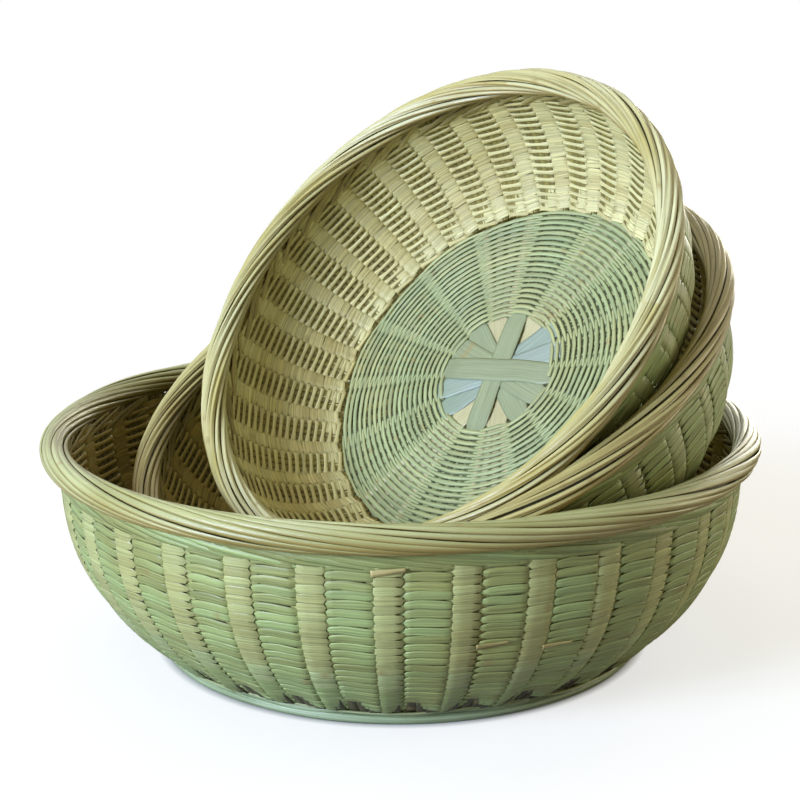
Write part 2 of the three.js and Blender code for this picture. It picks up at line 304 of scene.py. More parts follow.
# Where the corners of a splint lie across it: three to nine of them, or four on a face that is
# flat up to its edges, or a little rounded there.
THREE, FOUR, FIVE, NINE = (np.linspace(-0.5, 0.5, count) for count in (3, 4, 5, 9))
FLAT_FOUR = np.array([-0.5, -0.4, 0.4, 0.5])
SOFT_FOUR = np.array([-0.5, -0.32, 0.32, 0.5])

# The sections of the weavers of the wall: a yellow one is flat outside and crowned inside, and
# a green one is crowned outside and flat inside.
YELLOW_SECTION = {"across": FLAT_FOUR, "under": FOUR, "edge": 0.6, "back": 0.2}
GREEN_SECTION = {"across": SOFT_FOUR, "under": FLAT_FOUR, "edge": 0.42, "back": 0.85}

# How the marks across a splint run: the middle and the width of its outer face, then of its
# inner one.
OUTER_LANE, OUTER_SPAN = 0.25, 0.48
INNER_LANE, INNER_SPAN = 0.75, 0.46

# The direction out of a flat splint of a base.
UP = np.array([0.0, 0.0, 1.0])


def ribbon(path, face, width, thickness, number=0, across=THREE, under=None, loop=False,
           edge=0.35, back=None, ridges=0.0):
    """One splint as a closed body, crowned on both faces, with its fibres along the path.

    across and under are its corners on its outer and its inner face, and edge and back are the
    shares of its thickness that are left there at its sides.
    """
    count = len(path)
    if loop:
        ahead = np.roll(path, -1, axis=0) - np.roll(path, 1, axis=0)
    else:
        ahead = np.gradient(path, axis=0)
    ahead = ahead / np.linalg.norm(ahead, axis=1, keepdims=True)
    face = face - ahead * np.sum(face * ahead, axis=1, keepdims=True)
    face = face / np.linalg.norm(face, axis=1, keepdims=True)
    side = np.cross(ahead, face)
    points = len(across)
    under = across if under is None else under
    back = edge if back is None else back
    crown, depth = (0.5 * (left + (1 - left) * (1 - (2 * corners) ** 2)) + ridges
                    for corners, left in ((across, edge), (under, back)))
    out = np.concatenate([across, under[::-1]])
    up = np.concatenate([crown, -depth])
    width, thickness = (np.broadcast_to(some, count)[:, None, None]
                        for some in (width, thickness))
    rings = path[:, None, :] + side[:, None, :] * out[None, :, None] * width
    rings = rings + face[:, None, :] * up[None, :, None] * thickness

    sides = 2 * points
    steps = count if loop else count - 1
    here = np.arange(steps)[:, None] * sides
    there = (np.arange(steps)[:, None] + 1) % count * sides
    near = np.arange(sides)[None, :]
    after = (near + 1) % sides
    quads = np.stack([here + near, here + after, there + after, there + near], axis=-1)

    gaps = np.linalg.norm(np.diff(path, axis=0), axis=1)
    run = np.concatenate([[0], np.cumsum(gaps)])
    if loop:
        run = np.append(run, run[-1] + gaps[-1])
    round_it = np.concatenate([OUTER_LANE + OUTER_SPAN * across,
                               INNER_LANE - INNER_SPAN * under[::-1]])
    round_next = np.append(round_it[1:], 0.999)
    along = run * MM
    this_u, next_u = along[:steps], along[1:steps + 1]
    corner_u = np.stack([this_u, this_u, next_u, next_u], axis=-1)
    corner_v = np.stack([round_it, round_next, round_next, round_it], axis=-1) + number
    marks = np.empty((steps, sides, 4, 2))
    marks[..., 0] = corner_u[:, None, :]
    marks[..., 1] = corner_v[None, :, :]
    quads, marks = quads.reshape(-1, 4), marks.reshape(-1, 4, 2)
    if not loop:
        low = np.arange(points - 1)
        start = np.stack([low, sides - 1 - low, sides - 2 - low, low + 1], axis=-1)
        end = start[:, ::-1] + (count - 1) * sides
        quads = np.concatenate([quads, start, end])
        caps = np.empty((2 * (points - 1), 4, 2))
        caps[..., 0] = np.repeat([along[0], along[count - 1]], points - 1)[:, None]
        caps[..., 1] = number + OUTER_LANE
        marks = np.concatenate([marks, caps])
    return rings.reshape(-1, 3), quads, marks


def added(name, data):
    """A new object in the scene."""
    thing = bpy.data.objects.new(name, data)
    bpy.context.scene.collection.objects.link(thing)
    return thing


def piece(basket, name, ribbons, materials, slot, nodes, kinds=None):
    """One Blender object from its splints, riding on its basket in the place of solid nodes."""
    name = f"{basket.name}_{name}"
    points, quads, marks = zip(*ribbons)
    starts = np.cumsum([0, *map(len, points)])
    kinds = np.repeat(kinds or [0] * len(quads), [len(some) for some in quads])
    quads = np.concatenate([some + start for some, start in zip(quads, starts)])
    points, marks = basket.placed(np.concatenate(points)) * MM, np.concatenate(marks)
    mesh = bpy.data.meshes.new(name)
    mesh.vertices.add(len(points))
    mesh.vertices.foreach_set("co", points.astype(np.float32).ravel())
    mesh.loops.add(quads.size)
    mesh.loops.foreach_set("vertex_index", quads.astype(np.int32).ravel())
    mesh.polygons.add(len(quads))
    mesh.polygons.foreach_set("loop_start", np.arange(0, quads.size, 4, dtype=np.int32))
    mesh.polygons.foreach_set("material_index", kinds.astype(np.int32))
    mesh.polygons.foreach_set("use_smooth", np.ones(len(quads), dtype=bool))
    layer = mesh.uv_layers.new(name="fibres")
    layer.data.foreach_set("uv", marks.astype(np.float32).ravel())
    mesh.update(calc_edges=True)
    mesh.validate()
    for material in materials:
        mesh.materials.append(material)
    thing = added(name, mesh)
    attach(thing, basket.body)
    if nodes:
        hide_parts(*[f"{basket.name}_{node}" for node in nodes])


def linear(code):
    """A colour written as six hex digits, as linear light."""
    parts = [int(code[place:place + 2], 16) / 255 for place in (1, 3, 5)]
    return [p / 12.92 if p <= 0.04045 else ((p + 0.055) / 1.055) ** 2.4 for p in parts]


def node(tree, kind, inputs=(), **settings):
    """Adds a shader node with its settings, and its inputs as values, nodes or their sockets."""
    made = tree.nodes.new("ShaderNode" + kind)
    for key, value in settings.items():
        setattr(made, key, value)
    for key, value in dict(inputs).items():
        if isinstance(value, bpy.types.Node):
            value = value.outputs[0]
        if isinstance(value, bpy.types.NodeSocket):
            tree.links.new(value, made.inputs[key])
        else:
            made.inputs[key].default_value = value
    return made


def bare_tree(owner):
    """The empty node tree of a material or a world."""
    owner.use_nodes = True
    owner.node_tree.nodes.clear()
    return owner.node_tree


# Bamboo fibres lie in bundles about 0.4 mm apart, drawn twice as coarse so that they show.
FIBRE_PITCH = 0.8

# Along a splint the tone of a bundle holds for some 70 mm.
FIBRE_LENGTH = 70 * MM

# Splints are cut about 0.8 m long, and each cut has a tone of its own.
CUT_LENGTH = 800 * MM

# Dull patches on the skin are some 60 mm wide.
PATCH_WIDTH = 60 * MM

# A culm has a joint every 0.35 m, which leaves a tan mark 3 mm long on each splint.
JOINT_PITCH = 350 * MM
JOINT_MARK = 3 * MM


def split_bamboo(name, width, skins, fleshes, joint, under=None, gloss=0.42, contrast=0.35):
    """Split bamboo: waxy skin on one face and matt flesh on the other, with long fibres."""
    # under, when given, is the colour of painted shade that what looks down darkens to.
    made = bpy.data.materials.new(name)
    tree = bare_tree(made)

    # The fibres run along a splint, in metres. Across it lie its outer and then its inner face,
    # after the splint's number.
    marks = node(tree, "UVMap", uv_map="fibres")
    split = node(tree, "SeparateXYZ", {0: marks}).outputs
    along, across = split[0], split[1]
    number = node(tree, "Math", {0: across}, operation="FLOOR")
    place = node(tree, "Math", {0: across}, operation="FRACT")
    half = INNER_SPAN / 2 + 0.0005
    back = node(tree, "Math", {0: place, 1: INNER_LANE, 2: half}, operation="COMPARE")

    # Each cut length has its own luck, for its tone, dull patches and places of its joints.
    shift = node(tree, "Math", {0: number, 1: 0.37}, operation="MULTIPLY")
    cuts = node(tree, "Math", {0: along, 1: 1 / CUT_LENGTH, 2: shift}, operation="MULTIPLY_ADD")
    cut = node(tree, "Math", {0: cuts}, operation="FLOOR")
    dice = node(tree, "CombineXYZ", {0: number, 1: cut})
    luck = node(tree, "TexWhiteNoise", {"Vector": dice}, noise_dimensions="3D").outputs
    luck_one = luck["Value"]
    luck_two = node(tree, "SeparateColor", {0: luck["Color"]}).outputs[1]

    run = node(tree, "Math", {0: along, 1: 1 / FIBRE_LENGTH}, operation="MULTIPLY")
    lane = node(tree, "Math", {0: across, 1: 2 * width / FIBRE_PITCH}, operation="MULTIPLY")
    grain = node(tree, "CombineXYZ", {0: run, 1: lane, 2: number})
    fibre = node(tree, "TexNoise", {
        "Vector": grain, "Scale": 1.0, "Detail": 4.0, "Roughness": 0.6,
    })
    where = node(tree, "TexCoord").outputs
    patch = node(tree, "TexNoise", {
        "Vector": where["Object"], "Scale": 1 / PATCH_WIDTH, "Detail": 3.0,
    })

    # Skin outside and flesh inside, each with its dull patches.
    patches = node(tree, "Math", {0: luck_one, 1: 0.3, 2: patch}, operation="MULTIPLY_ADD")
    dull = node(tree, "MapRange", {"Value": patches, "From Min": 0.5, "From Max": 0.85})
    outside, inside = (
        node(tree, "Mix", {0: dull, 6: fresh, 7: faded}, data_type="RGBA").outputs[2]
        for fresh, faded in (skins, fleshes)
    )
    shown = node(tree, "Mix", {0: back, 6: outside, 7: inside}, data_type="RGBA").outputs[2]

    # The tan marks of the joints.
    joints = {0: along, 1: 1 / JOINT_PITCH, 2: luck_two}
    turn = node(tree, "Math", {0: node(tree, "Math", joints, operation="MULTIPLY_ADD")},
                operation="FRACT")
    off = node(tree, "Math", {0: turn, 1: 0.5}, operation="SUBTRACT")
    off = node(tree, "Math", {0: off}, operation="ABSOLUTE")
    on_joint = node(tree, "MapRange", {
        "Value": off, "From Max": JOINT_MARK / JOINT_PITCH, "To Min": 0.6, "To Max": 0.0,
    })
    shown = node(tree, "Mix", {0: on_joint, 6: shown, 7: joint}, data_type="RGBA").outputs[2]

    # Painted shade: what looks down darkens towards the under colour, as if lit from above.
    if under:
        lean = node(tree, "SeparateXYZ", {0: where["Normal"]}).outputs[2]
        low = node(tree, "MapRange", {
            "Value": lean, "From Min": 0.8, "From Max": -0.4, "To Max": 0.85,
        })
        shown = node(tree, "Mix", {0: low, 6: shown, 7: under}, data_type="RGBA").outputs[2]

    # Fine streaks of the fibres, and a tone for each cut length.
    streak = node(tree, "MapRange", {
        "Value": fibre, "From Min": 0.35, "From Max": 0.68,
        "To Min": 1.0 - contrast, "To Max": 1.0 + contrast * 0.3,
    })
    tone = node(tree, "Math", {0: luck_two, 1: 0.14, 2: 0.91}, operation="MULTIPLY_ADD")
    shade = node(tree, "Math", {0: streak, 1: tone}, operation="MULTIPLY")
    tinted = node(tree, "VectorMath", {0: shown, 1: shade}, operation="MULTIPLY")

    # Fibres are a little rougher than what lies between them, and flesh than skin.
    skin = node(tree, "Math", {0: fibre, 1: 0.1, 2: gloss - 0.05}, operation="MULTIPLY_ADD")
    roughness = node(tree, "Math", {0: back, 1: 0.15, 2: skin}, operation="MULTIPLY_ADD")
    bump = node(tree, "Bump", {"Height": fibre, "Strength": 0.4, "Distance": FIBRE_PITCH * MM})
    shader = node(tree, "BsdfPrincipled", {
        "Base Color": tinted, "Roughness": roughness, "IOR": 1.53, "Normal": bump,
    })
    node(tree, "OutputMaterial", {"Surface": shader})
    return made


def size(name, description, default):
    """A size that a user would change, given here in millimetres."""
    return bpy.props.FloatProperty(
        name=name, description=description, default=default * MM, min=0.0, precision=5,
        unit="LENGTH", subtype="DISTANCE",
    )


def colour(name, description, code):
    """A colour that a user would change."""
    return bpy.props.FloatVectorProperty(
        name=name, description=description, default=linear(code), min=0.0, max=1.0,
        subtype="COLOR",
    )


class WeaveSizes(bpy.types.PropertyGroup):
    """Sizes of the splints that the baskets are woven from"""

    wall_thickness: size("Wall thickness", "Thickness of both weavers and the stakes", 3.2)
    weaver_reach: size("Weaver reach", "From the middle of the wall to the middle of a float", 0.62)
    weaver_thickness: size("Weaver thickness", "Thickness of a weaver of the wall", 0.55)
    row_pitch: size("Row pitch", "Height of a row of each weaver on the large wall", 4.4)
    rib_depth: size("Rib depth", "How far the ribs of the wall stand out", 0.6)
    bulge_depth: size("Bulge depth", "How far the wall bulges round the foot", 1.8)
    foot_lift: size("Foot lift", "How far the lowest rows rise between the bulges", 2.6)
    wide_stake: size("Wide stake", "Width of the stakes behind the green columns", 14.5)
    narrow_stake: size("Narrow stake", "Width of the stakes behind the yellow columns", 8.0)
    stake_thickness: size("Stake thickness", "Thickness of a stake", 0.5)
    base_pitch: size("Base pitch", "Width of a row of each weaver of the base", 3.2)
    base_weaver: size("Base weaver", "Width of a weaver of the base", 1.35)
    base_reach: size("Base reach", "How far the base weavers rise over the stakes", 0.75)
    star_splint: size("Star splint", "Width of a splint of the star", 12.6)
    star_thickness: size("Star thickness", "Thickness of a splint of the star", 0.4)
    end_width: size("End width", "Width of the stake ends under the rim", 3.0)


# The colours of the split bamboo: what each is for, its fresh shade, and the dull one that it
# turns to in patches.
SHADES = (
    ("green_skin", "Skin of a green weaver", "#A4B472", "#9B9D5C"),
    ("mixed_skin", "Skin of a weaver between green and yellow", "#AFB87E", "#A3A56D"),
    ("yellow_skin", "Skin of a yellow weaver", "#B8BA7B", "#AEAA6B"),
    ("flesh", "Inner face of a weaver", "#E1D69A", "#CEBD7B"),
    # The browned inner face is painted shade: the insides of the large and medium baskets, which
    # lie in deep shade, are drawn darker and browner.
    ("aged_flesh", "Inner face of a browned weaver", "#D6C06A", "#BCA454"),
    ("base", "Both faces of a weaver of a base", "#A6B07E", "#B1B27B"),
    # The three stake colours are painted shade: darker than the weavers, for the shade in the gaps
    # of the weave where the stakes show.
    ("stake", "Skin of a stake", "#544C2B", "#483C20"),
    ("stake_flesh", "Inner face of a stake", "#94853F", "#7A6C34"),
    ("base_stake", "A stake under the weave of a base", "#59603A", "#4C4E2C"),
    ("green_splint", "A green splint of a star", "#8A926F", "#989F79"),
    ("blue_splint", "A blue green splint of a star", "#8A9A82", "#97A296"),
    ("cream_splint", "A cream splint of a star", "#C3BE93", "#BFB486"),
    ("rim", "Skin of a rim splint", "#D8D5A6", "#B7AC68"),
    ("green_rim", "Skin of a fresh rim splint", "#C5C78E", "#A8A86A"),
    # Painted shade: a darker, browner copy of the rim colours for the medium basket, which stands
    # in the shade of the large one.
    ("aged_rim", "Skin of a browned rim splint", "#C9BF80", "#A99B5E"),
    # Painted shade: the filling is drawn dark for the shade between the rim splints.
    ("filling", "The filling that a rim is wound on", "#5D5630", "#4A4428"),
    ("foot", "Skin of a foot splint", "#9FAE86", "#87956A"),
    ("tan", "A dry end of a stake or a weaver", "#C2B172", "#93824A"),
)


class BambooColours(bpy.types.PropertyGroup):
    """Colours of the split bamboo and of the stage"""

    # Painted shade: the colour that rim splints darken to where they look down.
    rim_under: colour("Rim underside", "A rim splint where it looks down", "#987C3A")
    joint: colour("Joint mark", "The mark that a joint of the culm leaves", "#A28C55")
    stage: colour("Stage", "The paper that the baskets stand on", "#ABABA9")


for key, thing, fresh, faded in SHADES:
    label = key.replace("_", " ")
    BambooColours.__annotations__.update({
        key: colour(label.capitalize(), thing, fresh),
        key + "_dull": colour("Dull " + label, thing + ", where dull", faded),
    })


def in_mm(context):
    """The sizes of the weave as plain numbers of millimetres."""
    group = context.scene.basket_weave
    return SimpleNamespace(**{key: getattr(group, key) / MM for key in group.__annotations__})


def looks(context):
    """The materials, which the pieces share, by what each is for."""
    shades, made = context.scene.basket_colours, {}

    def bamboo(use, width, skin, flesh=None, **finish):
        name, flesh = f"bamboo, split, {use}", flesh or skin
        keys = skin, skin + "_dull", flesh, flesh + "_dull", "joint", "rim_under"
        plain = [(*getattr(shades, key), 1.0) for key in keys]
        # Rim splints darken where they look down: painted shade.
        under = plain[5] if "rim splint" in name else None
        made[use] = bpy.data.materials.get(name) or split_bamboo(
            name, width, plain[:2], plain[2:4], plain[4], under, **finish)

    # The large and medium baskets get copies of the weavers whose inner face is darker and browner:
    # painted shade for their deep insides.
    for age, flesh in (("", "flesh"), ("aged ", "aged_flesh")):
        # Young bamboo split with its skin on: a waxy green face, and a straw yellow one inside.
        bamboo(age + "green weaver", 4.4, "green_skin", flesh, gloss=0.44, contrast=0.45)

        # Bamboo at the start of its drying: the green has gone pale in patches.
        bamboo(age + "mixed weaver", 4.4, "mixed_skin", flesh, gloss=0.38)

    # Dried bamboo, split and scraped: straw yellow with a soft sheen, duller where it is thin.
    # It serves the large basket only, and its inner face is painted shade.
    bamboo("aged yellow weaver", 4.4, "yellow_skin", "aged_flesh", gloss=0.38)

    # Thin green bamboo, split again and used on edge, so that both faces look alike.
    bamboo("base weaver", 1.5, "base", gloss=0.55)

    # The stakes of the frame, matt bamboo, in colours darkened for the shade in the gaps of the
    # weave where they show: painted shade.
    bamboo("stake", 10.0, "stake", "stake_flesh", gloss=0.55)
    bamboo("base stake", 4.0, "base_stake", gloss=0.8)

    # Broad splints, split flat and planed: smooth, with fine fibres from end to end.
    bamboo("green splint", 12.6, "green_splint", contrast=0.25)
    bamboo("blue green splint", 12.6, "blue_splint", contrast=0.25)
    bamboo("cream splint", 12.6, "cream_splint", contrast=0.25)

    # Rim splints are split from dried bamboo and polished by hands: pale, with a clear sheen.
    bamboo("rim splint", 3.0, "rim", gloss=0.34, contrast=0.15)
    bamboo("green rim splint", 3.0, "green_rim", gloss=0.34, contrast=0.2)
    # The medium basket's rim splint is darker and browner: painted shade, for the shade it lies in
    # inside the large basket.
    bamboo("aged rim splint", 3.0, "aged_rim", gloss=0.36, contrast=0.2)

    # Waste ends of bamboo, tied in a bundle, matt, and seen between the rim splints only: drawn
    # dark for the shade there, which is painted shade.
    bamboo("rim filling", 13.0, "filling", gloss=0.6)

    # Foot splints, split thick with their skin on: green, worn dull where the basket stands.
    bamboo("foot splint", 3.0, "foot")

    # Cut ends of bamboo that have dried out: tan to brown, and matt.
    bamboo("dry end", 2.0, "tan", gloss=0.55)
    return made


def wall_weaver(basket, outline, sizes, is_yellow, begin, end):
    """One weaver that climbs the wall from turn begin to turn end, out over its own columns."""
    step = 360 / COLUMNS
    wide = step - 2 * HALF_COLUMN
    pitch = sizes.row_pitch * basket.row_scale
    periods = np.arange(int(begin * COLUMNS), int(end * COLUMNS) + 1)
    count = len(PLACES) * (len(periods) - 1) + 2
    angle = (periods[:, None] * step + PLACES).ravel()[:count]
    local = np.tile(PLACES, len(periods))[:count]
    seed = basket.seed(is_yellow)

    def drift(kind, way=angle):
        return wander(way, *DRIFTS[kind], seed + list(DRIFTS).index(kind))

    # How far it is from the wide stake to the narrow one, which it passes on its other side,
    # and how far along its float over the wide one.
    stray = (drift("edge", angle % 360) + drift("slow edge")) / 2
    narrow = 1 - ramp(np.abs(local - stray), *CROSSING)
    out = narrow if is_yellow else 1 - narrow
    share = np.where(local < 0, local + step - HALF_COLUMN, local - HALF_COLUMN) / wide
    share = np.clip(share, 0, 1)

    climb = (FIRST_ROW if is_yellow else FIRST_ROW + pitch / 2) + pitch * angle / 360
    climb = climb + drift("climb")
    if is_yellow:
        # Its floats inside are slim in the middle, flare to their ends and sway a little.
        slim, flare, sway = 0.5, 0.35, 0.12
        over_wide = pitch * (slim + flare * np.abs(2 * share - 1) ** 3)
        over_narrow = pitch * SNUG
        climb = climb + sway * np.sin(2 * np.pi * share) * (1 - narrow)
    else:
        # Its floats outside bow up, taper at both ends, and come down again in the second half.
        first_taper, last_taper = 0.3, 0.16
        over_wide = pitch * (SNUG - first_taper * (1 - share) ** 5 - last_taper * share ** 5)
        over_narrow = pitch * PRESSED
        bow = 0.09 + drift("bow")
        drop = 0.05 + drift("drop")
        inside = 1 - ramp(local, -HALF_COLUMN, HALF_COLUMN)
        fall = np.where(narrow > 0.5, inside, ramp(share, 0.3, 0.65))
        climb = climb + pitch * (bow * np.sin(np.pi * share) * (1 - narrow) - drop * fall)

    # It draws in where it changes sides, most past a yellow column.
    width = narrow * over_narrow + (1 - narrow) * over_wide
    pinch = YELLOW_PINCH if is_yellow else GREEN_PINCH
    if basket.name != "small":
        pinch = pinch + LARGER_PINCH + drift("pinch")
    changing = 4 * narrow * (1 - narrow)
    width = width * (1 - changing * np.where(local > 0, pinch, PINCH_BEFORE))
    width = width * (1 + drift("width"))
    if basket.name == "medium":
        width = width * (MEDIUM_FILL + drift("slack"))

    # It is thickest over the wide stake.
    thickness = sizes.weaver_thickness * (1.1 + 0.25 * (1 - narrow)) * (1 + drift("thickness"))
    offset = (2 * out - 1) * sizes.weaver_reach
    point, face = outline.at(climb, angle + COLUMN_PHASE, offset)
    number = (100 if is_yellow else 200) + int(begin)
    section = YELLOW_SECTION if is_yellow else GREEN_SECTION
    return ribbon(point, face, width, thickness, number=number, **section)


class BASKETS_OT_weave_walls(bpy.types.Operator):
    """Weave a green and a yellow weaver round each wall, outside and inside in turn"""

    bl_idname = "baskets.weave_walls"
    bl_label = "Weave Walls"

    def execute(self, context):
        sizes, look = in_mm(context), looks(context)
        for basket in map(Basket, BASKETS):
            outline = Outline(basket, sizes)
            turns = (outline.length - LAST_ROW) / (sizes.row_pitch * basket.row_scale)
            # The large and medium baskets take the copies with painted shade on the inner face.
            age = "" if basket.name == "small" else "aged "
            green = look[age + "green weaver"]
            tone = "yellow" if basket.name == "large" else "mixed"
            yellow = look[f"{age}{tone} weaver"]
            greens = [wall_weaver(basket, outline, sizes, False, 0, turns)]
            piece(basket, "green_weaver", greens, [green], "green_weave", ["wall_weave"])
            stops = (0, GREEN_TURNS, MIXED_TURNS, turns)
            yellows = [wall_weaver(basket, outline, sizes, True, *ends)
                       for ends in zip(stops, stops[1:])]
            piece(basket, "yellow_weaver", yellows,
                  [green, look["mixed weaver"], yellow], "pale_weave", ["wall_weave"], [0, 1, 2])
        return {"FINISHED"}


class BASKETS_OT_stand_stakes(bpy.types.Operator):
    """Stand the stakes that the walls are woven on, wide and narrow in turn"""

    bl_idname = "baskets.stand_stakes"
    bl_label = "Stand Stakes"

    def execute(self, context):
        sizes, look = in_mm(context), looks(context)
        for basket in map(Basket, BASKETS):
            outline = Outline(basket, sizes)
            climb = np.linspace(0, outline.length, 40)
            radius = np.interp(climb, outline.climb, outline.radius)
            # Stakes are pared a little towards the base.
            taper = 0.92 + 0.08 * ramp(climb, 0, outline.length * 0.6)
            dice = basket.dice("stakes")
            made = []
            for number in range(STAKES):
                azimuth = COLUMN_PHASE + number * 360 / STAKES + dice.normal(0, 0.1)
                width = sizes.wide_stake if number % 2 else sizes.narrow_stake
                strips = 3 if number % 2 else 2
                width = width * taper * basket.wall_radius / FULL_RADIUS / strips
                for strip in range(strips):
                    aside = np.degrees((strip - (strips - 1) / 2) * width / radius)
                    point, face = outline.at(climb, azimuth + aside)
                    made.append(ribbon(point, face, width * 0.97, sizes.stake_thickness,
                                       number=10 + 3 * number + strip, edge=0.8))
            # The stakes are drawn in the darkened stake colours: painted shade.
            piece(basket, "stakes", made, [look["stake"]], "green_weave", [])
        return {"FINISHED"}


class BASKETS_OT_weave_bases(bpy.types.Operator):
    """Weave two fine weavers round the star of each base"""

    bl_idname = "baskets.weave_bases"
    bl_label = "Weave Bases"

    def execute(self, context):
        sizes, look = in_mm(context), looks(context)
        for basket in map(Basket, BASKETS):
            inner, outer = basket.hole_radius - 1, basket.base_radius - 1.2
            column_step = 360 / ENDS
            swell, thickness = 0.8, 0.95
            made = []
            for which in (0, 1):
                turns = (outer - inner) / sizes.base_pitch - which / 2
                angle = np.arange(0, turns * 360, column_step / 8)
                radius = inner + sizes.base_pitch * (angle / 360 + which / 2)
                place = angle / column_step + 0.5
                column = np.abs((place % 1) - 0.5) * 2
                over = (np.floor(place) % 2 * 2 - 1) * (1 - 2 * which)
                share = 1 - ramp(column, 0.55, 1.0)
                seed = basket.seed("base", which)
                tight = basket.dice("tight").uniform(0.75, 1.15, ENDS)
                share = share * tight[np.floor(place).astype(int) % ENDS]
                radius = radius + wander(angle, 0.16, 22, seed)
                width = 1 + wander(angle, 0.3, 17, seed + 1)
                width = sizes.base_weaver + swell * share * width
                level = basket.level + over * share * sizes.base_reach
                point = ring(radius, np.radians(angle + BASE_PHASE), level)
                made.append(ribbon(point, UP, width, thickness, number=which))
            piece(basket, "base_weavers", made, [look["base weaver"]], "pale_weave",
                  ["base_weave"])
        return {"FINISHED"}


class BASKETS_OT_spread_stakes(bpy.types.Operator):
    """Spread the split ends of the star's splints out under the weave of each base"""

    bl_idname = "baskets.spread_stakes"
    bl_label = "Spread Stakes"

    def execute(self, context):
        look = looks(context)
        parts, thickness = 4, 0.4
        green_width, cream_width = 3.6, 4.6
        step = 360 / ENDS / parts
        for basket in map(Basket, BASKETS):
            way = np.linspace(basket.hole_radius + 0.5, basket.base_radius - 2, 30)
            made, kinds = [], []
            for end in range(ENDS):
                is_cream = KINDS[end % SPLINTS] == "cream"
                for part in range(parts):
                    azimuth = end * parts * step + (part - 1.5) * step + BASE_PHASE
                    point = ring(way, np.radians(np.full_like(way, azimuth)), basket.level - 0.1)
                    widest = cream_width if is_cream else green_width
                    width = np.minimum(way * math.radians(step), widest)
                    number = end * parts + part
                    made.append(ribbon(point, UP, width * 0.96, thickness, number=number))
                    kinds.append(int(is_cream))
            # The ends under the weave are painted dark for the shade between the weavers, all but
            # the cream ones.
            materials = [look["base stake"], look["cream splint"]]
            piece(basket, "base_stakes", made, materials, "green_splint", [], kinds)
        return {"FINISHED"}


class BASKETS_OT_cross_splints(bpy.types.Operator):
    """Cross the broad splints of each star, one over the other"""

    bl_idname = "baskets.cross_splints"
    bl_label = "Cross Splints"

    def execute(self, context):
        sizes, look = in_mm(context), looks(context)
        for basket in map(Basket, BASKETS):
            hole = basket.hole_radius
            way = np.linspace(-hole - 4, hole + 4, 90)
            for index in range(SPLINTS):
                # It lies in the layer of the solid splint, and sinks under the weave at the hole.
                node_name = f"base_splint_{index + 1}"
                radius, height = basket.polar(node_name)
                layer = height[radius < hole * 0.95]
                layer = (layer.min() + layer.max()) / 2 - basket.level
                top = basket.level + 0.2 + layer * STAR_PRESS
                level = top + (basket.level - top) * ramp(np.abs(way), hole - 9, hole)
                seed = basket.seed("star", index)
                stray = wander(way, 0.3, 60, seed)
                turn = math.pi / SPLINTS * index
                point = np.stack([way * math.cos(turn) - stray * math.sin(turn),
                                  way * math.sin(turn) + stray * math.cos(turn), level], axis=-1)
                width = sizes.star_splint * (1 + wander(way, 0.03, 50, seed + 1))
                width = width * (1 - 0.14 * ramp(np.abs(way), hole - 3, hole + 1))
                ridges = np.random.default_rng(seed + 2).normal(0, 0.06, 9)
                made = [ribbon(point, UP, width, sizes.star_thickness,
                               number=index, across=NINE, edge=0.7, ridges=ridges)]
                slot = "cream_splint" if KINDS[index] == "cream" else "green_splint"
                piece(basket, f"star_splint_{index + 1}", made,
                      [look[KINDS[index] + " splint"]], slot, [node_name])
        return {"FINISHED"}


class BASKETS_OT_wind_rims(bpy.types.Operator):
    """Wind the splints of each rim round its filling, and finish the filling"""

    bl_idname = "baskets.wind_rims"
    bl_label = "Wind Rims"

    def execute(self, context):
        look = looks(context)
        azimuth = np.radians(np.arange(0, 360, 1.0))
        for basket in map(Basket, BASKETS):
            kind, thickness, edge, fill = RIM_BUILD[basket.name]
            count = RIM_SPLITS * RIM_STRANDS
            pitch = 2 * math.pi * (basket.rim_reach - 0.65) / count
            for strand in range(RIM_STRANDS):
                made = []
                for number in range(RIM_SPLITS * strand, RIM_SPLITS * (strand + 1)):
                    # Slow waves carry it to and fro round the bundle, in and out of it, and
                    # make it wider and slimmer.
                    dice = basket.dice("rim", number)
                    wave = {bends: np.sin(azimuth * bends + dice.random() * 2 * math.pi)
                            for bends in RIM_WAVES}
                    turn = 2 * math.pi / count * (number - RIM_SPLITS / 2 + 0.5)
                    turn = turn - RIM_TWIST * azimuth
                    turn = turn + 0.05 * wave[1] + 0.06 * wave[2] + 0.03 * wave[5]
                    reach = basket.rim_reach - 0.45 - thickness / 5
                    reach = reach + 0.26 * wave[3] + 0.12 * wave[8]
                    width = pitch * (fill + 0.05 * (wave[2] + wave[8]) + 0.06 * wave[13])
                    out, rise = reach * np.cos(turn), reach * np.sin(turn)
                    point = ring(basket.rim_radius + out, azimuth, basket.rim_height + rise)
                    face = ring(np.cos(turn), azimuth, np.sin(turn))
                    made.append(ribbon(point, face, width, thickness, number=number,
                                       across=FIVE, loop=True, edge=edge))
                piece(basket, f"rim_splints_{strand + 1}", made, [look[kind + " splint"]],
                      "rim_splint", [f"rim_strand_{strand + 1}"])
            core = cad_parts[f"{basket.name}_rim_core"].data.materials
            core.clear()
            core.append(look["rim filling"])
        return {"FINISHED"}


